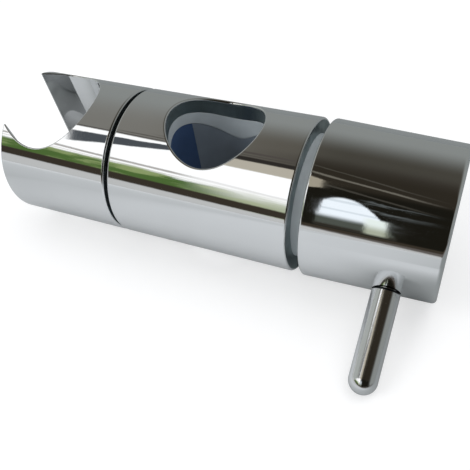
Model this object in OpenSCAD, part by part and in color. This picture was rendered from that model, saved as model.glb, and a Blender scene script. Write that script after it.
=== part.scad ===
// Shower holder for a riser rail: a barrel that slides on the rail, a tilting
// cradle for the handset at one end and a clamp knob with a lever at the other.
// The origin is where the barrel's axis (X) crosses the rail's axis (Z).
// The cradle lies toward -X and the knob toward +X. The wall is on the +Y side.

/* [Rail] */
// Diameter of the riser rail that the holder slides on
rail_d = 22; // [20:0.5:22.5]
// Radial clearance between the rail and every bore round it
rail_clearance = 0.15; // [0.05:0.01:0.4]

/* [Barrel] */
// Wall thickness of the chrome barrel sleeve
barrel_wall = 3.55; // [3:0.05:4.5]
// Length of the sleeve beyond the clamp core's chamber, on the knob side
sleeve_over = 2.4; // [2:0.1:5]
// Radius of the small rounding on the sleeve's ends
sleeve_round = 0.5; // [0.2:0.1:1]

/* [Cradle] */
// Length of the cradle from the middle of its seat to its open end
horn_len = 8.9; // [8:0.05:10]
// Width of the dark groove between cradle and barrel
cradle_gap = 0.95; // [0.6:0.05:2]
// Depth of the cradle screw's head behind the seat's wall
head_cover = 0.75; // [0.4:0.05:1.5]
// Diameter of the tapered seat where it crosses the barrel's axis
seat_d = 23.3; // [22:0.1:26]
// Half angle of the seat's taper in degrees
seat_taper = 2.25; // [1:0.05:3]
// Tilt of the seat from the rail, away from the wall, in degrees
seat_tilt = 7; // [0:0.5:20]
// Furthest tilt of the seat either way from the rail, in degrees
tilt_limit = 50; // [30:1:70]
// Radius of the rounding on the cradle's ends
cradle_round = 0.8; // [0.3:0.1:1.2]

/* [Cradle pivot] */
// Diameter of the cradle screw
screw_d = 5; // [4:0.5:6]
// Diameter of the cradle screw's head
screw_head_d = 8.4; // [8:0.1:9]
// Height of the cradle screw's head
screw_head_h = 2.4; // [2:0.1:3]
// Radius of the rounding on the screw head's rim
head_round = 0.4; // [0.2:0.1:0.8]
// Hexagon key size of the cradle screw
screw_key = 3; // [2.5:0.5:4]
// Thickness of the cradle's end wall that the pivot clamps
pivot_wall = 4.05; // [3:0.05:5]
// Thickness of the plain washer under the screw head
washer_t = 0.7; // [0.5:0.1:1]
// Thickness of the disc spring's sheet
disc_t = 0.4; // [0.3:0.05:0.5]
// Free height of the disc spring
disc_h = 0.8; // [0.7:0.05:1]
// Wall of the plastic bush round the screw
bush_wall = 1.4; // [1:0.1:2]
// Diameter of the threaded brass insert that the cradle screw bites into
insert_d = 8; // [7.4:0.1:9]
// Diameter of the pin that stops the cradle's tilt
stop_pin_d = 2.5; // [2:0.1:3]
// Distance of the stop pin from the barrel's axis
stop_pin_r = 10; // [8.5:0.1:11]
// Radial play of the stop pin in its slot
slot_play = 0.15; // [0.1:0.05:0.3]
// Depth of the arc slot that the stop pin runs in
stop_slot_depth = 2.6; // [2:0.1:3.2]

/* [Guide liner] */
// Wall thickness of the liner round the clamp core
liner_wall = 2.8; // [2.6:0.05:3.5]
// Radial play between liner and sleeve
liner_play = 0.05; // [0.02:0.01:0.1]
// Radial clearance of the clamp core in the liner
core_clearance = 0.1; // [0.05:0.01:0.1]
// Thickness of the liner's end wall on the cradle side
left_web = 5.3; // [5:0.1:8]
// Length of the liner beyond the sleeve, into the knob
liner_reach = 5.7; // [5.2:0.1:6.5]
// Thickness of the liner's end wall on the knob side, at the bolt
right_web = 3.1; // [2.5:0.1:4]
// Diameter of the two o-rings' section
oring_section = 1.4; // [1:0.1:1.8]
// Distance of each o-ring from the sleeve's end
oring_inset = 1.2; // [1:0.1:1.4]

/* [Clamp core] */
// Wall of the clamp core beside the rail, between its keys
core_side = 0.35; // [0.3:0.05:0.6]
// Travel of the clamp core in one turn of the knob
core_travel = 2.4; // [1.5:0.1:2.6]
// Solid length of the core between rail bore and its cradle-side end
core_back = 4.35; // [3.5:0.05:6]
// Thickness of the core's end wall that the bolt's head pulls on
core_front = 1.85; // [1.5:0.05:2]
// Height of the two side keys that stop the core from turning
key_h = 5; // [4:0.2:6]
// Wall that the liner keeps behind the core's keys
key_wall = 1; // [0.8:0.1:1.4]
// Thickness of the grip pad
pad_t = 1.5; // [1:0.1:2]
// Angle that the grip pad covers round the rail, in degrees
pad_angle = 62; // [40:1:80]
// Depth of the pad's face behind the core's bore
pad_recess = 0.05; // [0.02:0.01:0.1]

/* [Draw bolt] */
// Diameter of the draw bolt
bolt_d = 8; // [7:0.5:9]
// Size of the bolt's hexagon head across the flats
bolt_head_af = 11; // [10.5:0.5:12]
// Height of the bolt's head
bolt_head_h = 3; // [2.5:0.1:3.1]
// Depth of the bolt's head behind the rail bore's wall
bolt_recess = 0.5; // [0.3:0.05:0.6]
// Length of the bolt beyond the stop ring's groove
bolt_tail = 4.5; // [3:0.1:6]
// Thickness of the stop ring
ring_t = 1; // [0.8:0.1:1.2]
// Outer diameter of the stop ring
ring_d = 13; // [12:0.1:14]
// Width of the stop ring's mouth
ring_mouth = 4.8; // [4:0.1:6]
// Depth of the stop ring's groove
ring_groove = 0.7; // [0.5:0.05:1]
// Radial clearance of the bolt and the screw in what turns round them
bolt_clearance = 0.08; // [0.05:0.01:0.1]
// Wire diameter of the return spring
spring_wire = 1.2; // [1:0.1:1.3]
// Mean diameter of the return spring
spring_d = 12.4; // [11.6:0.1:13]
// Turns of the return spring
spring_turns = 3.5; // [3:0.5:4]

/* [Knob] */
// Gap between barrel sleeve and knob, where the liner shows
knob_gap = 2.7; // [2:0.1:4]
// Free length in the knob beyond the draw bolt
bolt_space = 5.7; // [3:0.05:10]
// How much wider the knob is than the barrel, at its inner end
knob_extra = 0.4; // [0:0.1:2]
// How much the knob narrows to its outer end
knob_draft = 1.5; // [0:0.1:2]
// Radius of the rounding at the knob's outer end
knob_round = 1; // [0.5:0.1:1.5]
// Wall of the knob shell at its outer end
shell_wall = 1.65; // [1.4:0.05:2]
// Thickness of the knob shell's end wall
shell_end = 2.5; // [2:0.1:3]
// Thickness of the washer that the knob turns on
thrust_t = 0.8; // [0.5:0.1:1]
// Outer diameter of the thrust washer
thrust_d = 25; // [20:0.5:26]
// Play between shell and hub
hub_play = 0.05; // [0.02:0.01:0.1]
// Size of the hub nut across the flats
nut_af = 13; // [12:0.5:14]
// Length of the hub nut
nut_len = 7.5; // [6:0.1:8]
// Thickness of the hub's floor in front of the nut
hub_floor = 2; // [1.5:0.1:3]
// Thickness of the hub's outer wall, inner sleeve and ribs
hub_wall = 2; // [1.5:0.1:2.2]
// Number of the hub's ribs
hub_ribs = 8; // [6:1:10]

/* [Lever] */
// Diameter of the lever
lever_d = 6.2; // [5:0.1:8]
// Distance of the lever's tip from the barrel's axis
lever_reach = 40.1; // [30:0.1:50]
// Distance of the lever from the knob's outer end
lever_inset = 10.35; // [9:0.05:12]
// Direction of the lever: angle from the rail's upper end away from the wall
lever_angle = 113.8; // [90:0.2:150]
// Diameter of the lever's threaded stub
stub_d = 5; // [4:0.1:5.2]
// Length of the stub inside the hub
stub_len = 6.5; // [5:0.1:7.5]

/* [Hidden] */
$fn = 96;

// Overshoot of every cut past the face that it leaves
cut = 1;
// Gap between parts of one body that only meet
meet = 0.05;
// Free length that a sliding part keeps at the end of its travel
end_play = 0.5;
// Free length between the released core and the liner's end wall
back_play = 1;
// Free length past the end of a screw, pin or insert in its hole
tip_gap = 0.4;
// Radial space round a screw head, a nut or the spring in its pocket
pocket_play = 0.5;
// Radial play of a washer on its screw
washer_play = 0.1;
// Depth of the friction disc's rim in the groove
disc_inset = 1.4;

bore_r = rail_d / 2 + rail_clearance;
core_r = bore_r + core_side;
guide_r = core_r + core_clearance;
liner_r = guide_r + liner_wall;
sleeve_r = liner_r + liner_play;
barrel_r = sleeve_r + barrel_wall;
key_r = liner_r - key_wall - core_clearance;

// Stations along X from the rail to the cradle
core_x0 = -bore_r - core_back;
guide_x0 = core_x0 - back_play;
sleeve_x0 = guide_x0 - left_web;
cradle_x1 = sleeve_x0 - cradle_gap;
floor_x = cradle_x1 - pivot_wall;
washer_x1 = floor_x - disc_h;
head_x1 = washer_x1 - washer_t;
head_x0 = head_x1 - screw_head_h;
seat_x = head_x0 - head_cover - seat_d / 2;
cradle_x0 = seat_x - horn_len;
insert_x1 = guide_x0 - tip_gap;
pin_x1 = guide_x0 - back_play;

// Stations along X from the rail to the knob
bolt_head_x0 = bore_r + bolt_recess;
bolt_head_x1 = bolt_head_x0 + bolt_head_h;
core_x1 = bolt_head_x1 + core_front;
guide_x1 = core_x1 + core_travel + end_play;
sleeve_x1 = guide_x1 + sleeve_over;
liner_x1 = sleeve_x1 + liner_reach;
pocket_x1 = liner_x1 - right_web;
hub_x0 = liner_x1 + thrust_t;
nut_x0 = hub_x0 + hub_floor;
nut_x1 = nut_x0 + nut_len;
ring_x0 = nut_x1 + meet;
bolt_x1 = ring_x0 + ring_t + bolt_tail;
hub_x1 = bolt_x1 + core_travel + bolt_space;
knob_x0 = sleeve_x1 + knob_gap;
knob_x1 = hub_x1 + meet + shell_end;
lever_x = knob_x1 - lever_inset;

screw_r = screw_d / 2;
screw_head_r = screw_head_d / 2;
bush_r = screw_r + bolt_clearance + bush_wall;
bolt_r = bolt_d / 2;
bolt_head_r = bolt_head_af / 2 / cos(30);
bolt_hole_r = bolt_r + bolt_clearance;
knob_r0 = barrel_r + knob_extra / 2;
knob_r1 = knob_r0 - knob_draft / 2;
shell_r = knob_r1 - shell_wall;
hub_r = shell_r - hub_play;
nut_r = nut_af / 2 / cos(30);
hub_bore_r = nut_r + pocket_play;
lever_r = lever_d / 2;
stub_r = stub_d / 2;

// Turns the Z axis of its children onto X, with x measured along the barrel
module along_x() {
  multmatrix([[0, 0, 1, 0], [0, 1, 0, 0], [-1, 0, 0, 0], [0, 0, 0, 1]]) children();
}

// Turns its children about the barrel, from the rail's top away from the wall
module round_barrel(angle) {
  rotate([angle, 0, 0]) children();
}

// A cylinder on the barrel's axis from x0 to x1
module rod_x(r, x0, x1) {
  along_x() translate([0, 0, x0]) cylinder(r = r, h = x1 - x0);
}

// A hexagonal bar on the barrel's axis from x0 to x1
module hex_x(r, x0, x1) {
  along_x() translate([0, 0, x0]) cylinder(r = r, h = x1 - x0, $fn = 6);
}

// A tube on the barrel's axis from x0 to x1
module tube_x(r_out, r_in, x0, x1) {
  difference() {
    rod_x(r_out, x0, x1);
    rod_x(r_in, x0 - cut, x1 + cut);
  }
}

// A turned solid from x0 to x1 whose outer edges are rounded, and whose
// radius runs from r0 to r1
module turned_x(r0, r1, x0, x1, round0, round1) {
  along_x() rotate_extrude() union() {
    polygon([[0, x0], [r0 - round0, x0], [r0, x0 + round0], [r1, x1 - round1],
      [r1 - round1, x1], [0, x1]]);
    translate([r0 - round0, x0 + round0]) circle(r = round0, $fn = 32);
    translate([r1 - round1, x1 - round1]) circle(r = round1, $fn = 32);
  }
}

// The rail's bore, through everything that it is cut from
module rail_hole() {
  translate([0, 0, -barrel_r - cut]) cylinder(r = bore_r, h = 2 * (barrel_r + cut));
}

module barrel_sleeve() {
  color("silver") difference() {
    turned_x(barrel_r, barrel_r, sleeve_x0, sleeve_x1, sleeve_round, sleeve_round);
    rod_x(sleeve_r, sleeve_x0 - cut, sleeve_x1 + cut);
    rail_hole();
  }
}

// The groove that seats an o-ring so that it just meets the sleeve
module oring_groove(x) {
  half = oring_section / 2 + meet;
  difference() {
    rod_x(liner_r + cut, x - half, x + half);
    rod_x(sleeve_r - oring_section - meet, x - half - cut, x + half + cut);
  }
}

module oring(x) {
  r = oring_section / 2;
  color("black") along_x() translate([0, 0, x]) rotate_extrude()
    translate([sleeve_r - r - meet / 2, 0]) circle(r = r, $fn = 24);
}

// The two side keys of the core, or with play their slots in the liner
module side_keys(x0, x1, play) {
  height = key_h + 2 * play;
  span = 2 * (key_r + play);
  translate([x0, -span / 2, -height / 2]) cube([x1 - x0, span, height]);
}

module guide_liner() {
  color("lightgray") difference() {
    rod_x(liner_r, sleeve_x0, liner_x1);
    rod_x(guide_r, guide_x0, guide_x1);
    side_keys(guide_x0, guide_x1, core_clearance);
    rod_x((spring_d + spring_wire) / 2 + pocket_play, guide_x1 - cut, pocket_x1);
    rod_x(bolt_hole_r, pocket_x1 - cut, liner_x1 + cut);
    rod_x(insert_d / 2, sleeve_x0 - cut, insert_x1);
    round_barrel(180) translate([0, 0, stop_pin_r])
      rod_x(stop_pin_d / 2, sleeve_x0 - cut, pin_x1);
    oring_groove(sleeve_x0 + oring_inset);
    oring_groove(sleeve_x1 - oring_inset);
    rail_hole();
  }
}

module pivot_insert() {
  color("goldenrod") tube_x(insert_d / 2, screw_r, sleeve_x0, insert_x1);
}

module stop_pin() {
  color("gray") round_barrel(180) translate([0, 0, stop_pin_r])
    rod_x(stop_pin_d / 2, cradle_x1 - stop_slot_depth + tip_gap, pin_x1);
}

module friction_disc() {
  color("dimgray") difference() {
    rod_x(barrel_r - disc_inset, cradle_x1, sleeve_x0);
    rod_x(screw_r, cradle_x1 - cut, sleeve_x0 + cut);
    round_barrel(180) translate([0, 0, stop_pin_r])
      rod_x(stop_pin_d / 2, cradle_x1 - cut, sleeve_x0 + cut);
  }
}

module cradle_screw() {
  color("silver") difference() {
    union() {
      turned_x(screw_head_r, screw_head_r, head_x0, head_x1, head_round, meet);
      rod_x(screw_r, head_x0 + cut, insert_x1 - tip_gap);
    }
    hex_x(screw_key / 2 / cos(30), head_x0 - cut, head_x1 - cut);
  }
}

module plain_washer() {
  color("silver") tube_x(screw_head_r, screw_r + washer_play, head_x1, washer_x1);
}

// A shallow cone that presses its rim on the cradle's end wall
module disc_spring() {
  r_in = screw_r + washer_play;
  r_out = screw_head_r;
  color("gray") along_x() rotate_extrude()
    polygon([[r_in, washer_x1], [r_in, washer_x1 + disc_t],
      [r_out, floor_x], [r_out, floor_x - disc_t]]);
}

// The tapered seat: a cone whose axis crosses the barrel's
module seat_cone() {
  reach = barrel_r + cut;
  spread = reach * tan(seat_taper);
  translate([seat_x, 0, 0]) round_barrel(seat_tilt) translate([0, 0, -reach])
    cylinder(r1 = seat_d / 2 - spread, r2 = seat_d / 2 + spread, h = 2 * reach);
}

// The slot that the stop pin runs in as the cradle tilts
module stop_slot() {
  r = stop_pin_d / 2 + slot_play;
  x0 = cradle_x1 - stop_slot_depth;
  round_barrel(180 + seat_tilt) {
    along_x() rotate([0, 0, 180 - tilt_limit]) rotate_extrude(angle = 2 * tilt_limit)
      translate([stop_pin_r - r, x0]) square([2 * r, stop_slot_depth + cut]);
    for (side = [-1, 1]) round_barrel(side * tilt_limit)
      translate([0, 0, stop_pin_r]) rod_x(r, x0, cradle_x1 + cut);
  }
}

module handset_cradle() {
  color("silver") difference() {
    turned_x(barrel_r, barrel_r, cradle_x0, cradle_x1, cradle_round, sleeve_round);
    seat_cone();
    rod_x(screw_head_r + pocket_play, seat_x, floor_x);
    rod_x(bush_r, floor_x - cut, cradle_x1 + cut);
    stop_slot();
  }
}

module cradle_bush() {
  color("ivory") tube_x(bush_r, screw_r + bolt_clearance, floor_x, cradle_x1);
}

// The ring of the grip pad, cut to the angle that it covers
module pad_sector(r_in) {
  wedge_r = bore_r + 2 * core_r;
  half = pad_angle / 2;
  intersection() {
    difference() {
      translate([0, 0, -core_r]) cylinder(r = bore_r + pad_t, h = 2 * core_r);
      translate([0, 0, -core_r - cut]) cylinder(r = r_in, h = 2 * (core_r + cut));
    }
    translate([0, 0, -core_r]) linear_extrude(2 * core_r)
      polygon([[0, 0], wedge_r * [-cos(half), sin(half)], [-wedge_r, 0],
        wedge_r * [-cos(half), -sin(half)]]);
  }
}

module grip_pad() {
  color("slategray") intersection() {
    pad_sector(bore_r + pad_recess);
    rod_x(core_r, core_x0, core_x1);
  }
}

module clamp_core() {
  color("gray") difference() {
    union() {
      rod_x(core_r, core_x0, core_x1);
      side_keys(core_x0, core_x1, 0);
    }
    rail_hole();
    pad_sector(bore_r - cut);
    hex_x(bolt_head_r + meet, bore_r - cut, bolt_head_x1);
    rod_x(bolt_r + meet, bore_r, core_x1 + cut);
  }
}

module draw_bolt() {
  color("silver") difference() {
    union() {
      hex_x(bolt_head_r, bolt_head_x0, bolt_head_x1);
      rod_x(bolt_r, bolt_head_x0 + cut, bolt_x1);
    }
    tube_x(bolt_r + cut, bolt_r - ring_groove, ring_x0, ring_x0 + ring_t);
  }
}

// An open ring that snaps into the bolt's groove and stops the knob
module stop_ring() {
  color("gray") difference() {
    tube_x(ring_d / 2, bolt_r - ring_groove, ring_x0, ring_x0 + ring_t);
    translate([ring_x0 - cut, -ring_mouth / 2, 0])
      cube([ring_t + 2 * cut, ring_mouth, ring_d]);
  }
}

// A coil of round wire round the barrel's axis, swept through stations
module return_spring() {
  sides = 8;
  steps = 20;
  wire_r = spring_wire / 2;
  x0 = core_x1 + wire_r;
  rise = pocket_x1 - wire_r - x0;
  count = round(steps * spring_turns);
  points = [for (i = [0 : count]) for (j = [0 : sides - 1])
    let (turn = 360 * i / steps, side = 360 * j / sides,
      r = spring_d / 2 + wire_r * cos(side))
      [x0 + rise * i / count + wire_r * sin(side), r * cos(turn), r * sin(turn)]];
  skin = [for (i = [0 : count - 1]) for (j = [0 : sides - 1])
    let (a = i * sides + j, b = i * sides + (j + 1) % sides)
      [a, b, b + sides, a + sides]];
  first = [for (j = [0 : sides - 1]) sides - 1 - j];
  last = [for (j = [0 : sides - 1]) count * sides + j];
  color("silver") polyhedron(points, concat(skin, [first, last]), convexity = 8);
}

module thrust_washer() {
  color("ivory") tube_x(thrust_d / 2, bolt_hole_r, liner_x1, hub_x0);
}

// Places its children along the lever, with z measured from the barrel's axis
module along_lever() {
  translate([lever_x, 0, 0]) round_barrel(lever_angle) children();
}

module knob_shell() {
  color("silver") difference() {
    knob_form();
    rod_x(shell_r, knob_x0 - cut, knob_x1 - shell_end);
    along_lever() cylinder(r = stub_r + meet, h = 2 * knob_r0);
  }
}

// The spaces between the hub's ribs, open at its outer end
module hub_pockets() {
  core_wall_r = hub_bore_r + hub_wall;
  rib_r = core_wall_r - cut;
  difference() {
    tube_x(hub_r - hub_wall, core_wall_r, nut_x0, hub_x1 + cut);
    for (i = [0 : hub_ribs - 1]) round_barrel(lever_angle + 360 * i / hub_ribs)
      translate([nut_x0 - 2 * cut, -hub_wall / 2, rib_r])
        cube([hub_x1 - nut_x0 + 4 * cut, hub_wall, hub_r - rib_r]);
    along_lever() cylinder(r = stub_r + hub_wall, h = hub_r);
  }
}

// The hub inside the knob: an outer wall and an inner sleeve, joined by ribs
module knob_hub() {
  color("dimgray") difference() {
    rod_x(hub_r, hub_x0, hub_x1);
    hub_pockets();
    rod_x(bolt_hole_r, hub_x0 - cut, hub_x1);
    hex_x(nut_r, nut_x0, nut_x1 + cut);
    rod_x(hub_bore_r, nut_x1, hub_x1 + cut);
    along_lever() cylinder(r = stub_r, h = hub_r + cut);
  }
}

module hub_nut() {
  color("goldenrod") difference() {
    hex_x(nut_r, nut_x0, nut_x1);
    rod_x(bolt_hole_r, nut_x0 - cut, nut_x1 + cut);
  }
}

// The knob's outer form, which the lever's shoulder is hollowed to sit on
module knob_form() {
  turned_x(knob_r0, knob_r1, knob_x0, knob_x1, sleeve_round, knob_round);
}

module lever() {
  color("silver") {
    difference() {
      along_lever() {
        cylinder(r = lever_r, h = lever_reach - lever_r);
        translate([0, 0, lever_reach - lever_r]) sphere(r = lever_r);
      }
      knob_form();
    }
    along_lever() translate([0, 0, hub_r - stub_len])
      cylinder(r = stub_r, h = knob_r0 - hub_r + stub_len);
  }
}

barrel_sleeve();
guide_liner();
oring(sleeve_x0 + oring_inset);  // oring_left
oring(sleeve_x1 - oring_inset);  // oring_right
pivot_insert();
stop_pin();
friction_disc();
cradle_screw();
plain_washer();
disc_spring();
handset_cradle();
cradle_bush();
clamp_core();
grip_pad();
draw_bolt();
stop_ring();
return_spring();
thrust_washer();
knob_shell();
knob_hub();
hub_nut();
lever();
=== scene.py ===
import math

import bpy
import numpy as np
from bpy.props import FloatProperty, FloatVectorProperty, IntProperty, PointerProperty
from mathutils import Matrix, Vector


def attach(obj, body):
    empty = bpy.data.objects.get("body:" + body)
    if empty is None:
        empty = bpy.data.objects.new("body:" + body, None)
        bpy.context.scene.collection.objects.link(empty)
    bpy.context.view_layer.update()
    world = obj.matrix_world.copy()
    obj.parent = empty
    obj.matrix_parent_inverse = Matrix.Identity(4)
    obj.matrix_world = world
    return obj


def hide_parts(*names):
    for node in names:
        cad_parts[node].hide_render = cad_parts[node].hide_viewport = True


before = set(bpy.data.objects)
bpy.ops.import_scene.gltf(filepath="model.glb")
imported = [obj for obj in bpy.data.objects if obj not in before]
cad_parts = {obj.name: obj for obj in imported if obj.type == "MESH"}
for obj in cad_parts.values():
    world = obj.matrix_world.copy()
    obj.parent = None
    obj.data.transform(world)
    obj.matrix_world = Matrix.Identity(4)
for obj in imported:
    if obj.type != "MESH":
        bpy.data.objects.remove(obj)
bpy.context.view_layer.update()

bl_info = {
    "name": "Shower holder",
    "version": (1, 0, 0),
    "blender": (4, 5, 0),
    "location": "3D View > Sidebar > Holder",
    "description": "A chrome shower holder with a tilting cradle, a pierced barrel and a lever knob",
    "category": "Object",
}

# Points closer than this are one vertex, in metres
WELD = 1e-7


class HolderSizes(bpy.types.PropertyGroup):
    """Sizes of the chrome pieces, in metres and radians, in the frame of the CAD."""

    barrel_radius: FloatProperty(
        name="Barrel radius", description="Outer radius of the sleeve and the cradle",
        default=0.018, unit="LENGTH")
    sleeve_bore: FloatProperty(
        name="Sleeve bore", description="Inner radius of the sleeve",
        default=0.01445, unit="LENGTH")
    sleeve_half: FloatProperty(
        name="Half sleeve", description="Distance from the rail's axis to each end of the sleeve",
        default=0.0218, unit="LENGTH")
    rail_bore: FloatProperty(
        name="Rail bore", description="Radius of the hole that the rail passes through",
        default=0.01115, unit="LENGTH")
    rail_rim: FloatProperty(
        name="Rail hole rounding", description="Radius of the rounding round the rail's hole",
        default=0.00045, unit="LENGTH")
    sleeve_round: FloatProperty(
        name="Sleeve end rounding", description="Radius of the rounding on both ends of the sleeve",
        default=0.0005, unit="LENGTH")
    cradle_open: FloatProperty(
        name="Cradle's open end", description="Place of the cradle's horns along the barrel",
        default=-0.052, unit="LENGTH")
    cradle_flat: FloatProperty(
        name="Cradle's flat end", description="Place of the cradle's face at the groove",
        default=-0.02275, unit="LENGTH")
    cradle_round: FloatProperty(
        name="Cradle rounding", description="Radius of the rounding on the seat's rim and the horns",
        default=0.00025, unit="LENGTH")
    seat_place: FloatProperty(
        name="Seat place", description="Place of the seat's axis along the barrel",
        default=-0.0431, unit="LENGTH")
    seat_radius: FloatProperty(
        name="Seat radius", description="Radius of the tapered seat on the barrel's axis",
        default=0.01165, unit="LENGTH")
    seat_taper: FloatProperty(
        name="Seat taper", description="Half angle of the tapered seat",
        default=math.radians(2.25), unit="ROTATION")
    seat_tilt: FloatProperty(
        name="Seat tilt", description="Lean of the seat's top away from the wall",
        default=math.radians(7), unit="ROTATION")
    screw_pocket: FloatProperty(
        name="Screw pocket", description="Radius of the pocket that the cradle screw's head sits in",
        default=0.0047, unit="LENGTH")
    pocket_floor: FloatProperty(
        name="Pocket floor", description="Place of the screw pocket's floor along the barrel",
        default=-0.0268, unit="LENGTH")
    bush_bore: FloatProperty(
        name="Bush bore", description="Radius of the hole that the plastic bush fills",
        default=0.00398, unit="LENGTH")
    knob_start: FloatProperty(
        name="Knob start", description="Place of the knob's open end along the barrel",
        default=0.0245, unit="LENGTH")
    knob_end: FloatProperty(
        name="Knob end", description="Place of the knob's outer end along the barrel",
        default=0.054, unit="LENGTH")
    knob_radius: FloatProperty(
        name="Knob radius", description="Outer radius of the knob at its open end",
        default=0.0182, unit="LENGTH")
    knob_end_radius: FloatProperty(
        name="Knob end radius", description="Outer radius of the knob at its outer end",
        default=0.01745, unit="LENGTH")
    knob_round: FloatProperty(
        name="Knob rounding", description="Radius of the rounding at the knob's outer end",
        default=0.001, unit="LENGTH")
    shell_bore: FloatProperty(
        name="Shell bore", description="Inner radius of the knob's shell",
        default=0.0158, unit="LENGTH")
    shell_floor: FloatProperty(
        name="Shell floor", description="Place of the inner face of the knob's end wall",
        default=0.0515, unit="LENGTH")
    lever_place: FloatProperty(
        name="Lever place", description="Place of the lever's axis along the barrel",
        default=0.04365, unit="LENGTH")
    lever_radius: FloatProperty(
        name="Lever radius", description="Radius of the lever", default=0.0031, unit="LENGTH")
    lever_root: FloatProperty(
        name="Lever root", description="Distance from the barrel's axis to the lever's inner end",
        default=0.0169, unit="LENGTH")
    lever_neck: FloatProperty(
        name="Lever neck", description="Distance from the barrel's axis to the groove at the lever's root",
        default=0.0175, unit="LENGTH")
    neck_width: FloatProperty(
        name="Neck width", description="Width of the groove at the lever's root",
        default=0.00045, unit="LENGTH")
    neck_depth: FloatProperty(
        name="Neck depth", description="Depth of the groove at the lever's root",
        default=0.00035, unit="LENGTH")
    lever_reach: FloatProperty(
        name="Lever reach", description="Distance from the barrel's axis to the lever's tip",
        default=0.0401, unit="LENGTH")
    lever_angle: FloatProperty(
        name="Lever angle", description="Angle of the lever from the rail's upper end, away from the wall",
        default=math.radians(113.8), unit="ROTATION")
    fineness: IntProperty(
        name="Fineness", description="Segments along half a turn of the round pieces",
        default=64, min=16, max=128)


class HolderColours(bpy.types.PropertyGroup):
    """Colours of the finishes."""

    chrome: FloatVectorProperty(
        name="Chrome", description="Reflected colour of the polished chrome",
        default=(0.86, 0.87, 0.88), size=3, subtype="COLOR")
    # Darker than the chrome, partly as painted shade inside the holes and in the gaps between the pieces; the satin
    # gloss is the plating's own
    cut_face: FloatVectorProperty(
        name="Cut faces", description="Reflected colour of the satin walls inside the barrel's holes",
        default=(0.36, 0.43, 0.44), size=3, subtype="COLOR")
    # Painted shade: the near-black colour stands in for the shade inside the lever's narrow groove
    groove: FloatVectorProperty(
        name="Lever's groove", description="Reflected colour of the narrow groove at the lever's root",
        default=(0.035, 0.04, 0.045), size=3, subtype="COLOR")
    liner: FloatVectorProperty(
        name="Liner", description="Colour of the guide liner's plastic",
        default=(0.55, 0.60, 0.62), size=3, subtype="COLOR")
    core: FloatVectorProperty(
        name="Clamp core", description="Colour of the clamp core's plastic",
        default=(0.23, 0.265, 0.31), size=3, subtype="COLOR")
    pad: FloatVectorProperty(
        name="Grip pad", description="Colour of the grip pad's rubber",
        default=(0.045, 0.09, 0.20), size=3, subtype="COLOR")
    seal: FloatVectorProperty(
        name="Seals", description="Colour of the o-rings and the friction disc",
        default=(0.012, 0.012, 0.013), size=3, subtype="COLOR")
    bush: FloatVectorProperty(
        name="Bushes", description="Colour of the pale plastic bush and washer",
        default=(0.80, 0.80, 0.76), size=3, subtype="COLOR")
    hub: FloatVectorProperty(
        name="Hub", description="Colour of the knob hub's plastic",
        default=(0.05, 0.05, 0.055), size=3, subtype="COLOR")
    steel: FloatVectorProperty(
        name="Steel", description="Colour of the stainless fasteners",
        default=(0.56, 0.55, 0.53), size=3, subtype="COLOR")
    spring: FloatVectorProperty(
        name="Spring steel", description="Colour of the springs and the stop ring",
        default=(0.34, 0.34, 0.35), size=3, subtype="COLOR")
    brass: FloatVectorProperty(
        name="Brass", description="Colour of the brass nut and insert",
        default=(0.72, 0.50, 0.20), size=3, subtype="COLOR")


# Surfaces


class Skin:
    """Gathers the patches of one closed surface and welds them where they meet."""

    def __init__(self):
        self.points = []
        self.normals = []
        self.quads = []
        self.finishes = []
        self.total = 0

    def patch(self, points, normals, finish=0):
        """Adds a grid of points with their unit normals. Its faces turn to the normals' side, and
        finish is the number of their material."""
        normals = np.broadcast_to(normals, points.shape)
        rows, columns = points.shape[:2]
        index = np.arange(rows * columns).reshape(rows, columns)
        corners = (index[:-1, :-1], index[1:, :-1], index[1:, 1:], index[:-1, 1:])
        quads = np.stack(corners, -1).reshape(-1, 4)
        flat = points.reshape(-1, 3)
        flat_normals = normals.reshape(-1, 3)
        facing = np.cross(flat[quads[:, 2]] - flat[quads[:, 0]], flat[quads[:, 3]] - flat[quads[:, 1]])
        if (facing * flat_normals[quads].sum(1)).sum() < 0:
            quads = quads[:, ::-1]
        self.points.append(flat)
        self.normals.append(flat_normals)
        self.quads.append(quads + self.total)
        self.finishes.append(np.full(len(quads), finish))
        self.total += rows * columns

    def both_sides(self, points, normals):
        """Adds a patch and its mirror image in the plane through the barrel's axis and the seat's."""
        mirror = np.array([1.0, -1.0, 1.0])
        self.patch(points, normals)
        self.patch(points * mirror, normals * mirror)

    def mesh(self, name, turn=None):
        """The welded mesh, turned by a rotation matrix, with the exact normals of its formulas."""
        points = np.concatenate(self.points)
        normals = np.concatenate(self.normals)
        quads = np.concatenate(self.quads)
        cells = np.round(points / WELD).astype(np.int64)
        _, first, cell = np.unique(cells, axis=0, return_index=True, return_inverse=True)
        vertex = cell.reshape(-1)[quads]
        keep = vertex != np.roll(vertex, 1, axis=1)
        sizes = keep.sum(1)
        whole = sizes > 2
        corners = vertex[whole][keep[whole]]
        corner_normals = normals[quads[whole]][keep[whole]]
        starts = np.cumsum(sizes[whole]) - sizes[whole]
        places = points[first]
        if turn is not None:
            places = places @ turn.T
            corner_normals = corner_normals @ turn.T
        mesh = bpy.data.meshes.new(name)
        mesh.vertices.add(len(places))
        mesh.vertices.foreach_set("co", places.ravel())
        mesh.loops.add(len(corners))
        mesh.loops.foreach_set("vertex_index", corners)
        mesh.polygons.add(len(starts))
        mesh.polygons.foreach_set("loop_start", starts)
        mesh.polygons.foreach_set("use_smooth", np.ones(len(starts), bool))
        mesh.polygons.foreach_set("material_index", np.concatenate(self.finishes)[whole])
        mesh.update(calc_edges=True)
        if mesh.validate():
            raise RuntimeError(f"{name} has faces that don't hold together")
        length = np.linalg.norm(corner_normals, axis=1, keepdims=True)
        mesh.normals_split_custom_set(corner_normals / length)
        return mesh


def vectors(x, y, z):
    """Three arrays of coordinates as one array of vectors."""
    return np.stack(np.broadcast_arrays(x, y, z), -1).astype(float)


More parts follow.
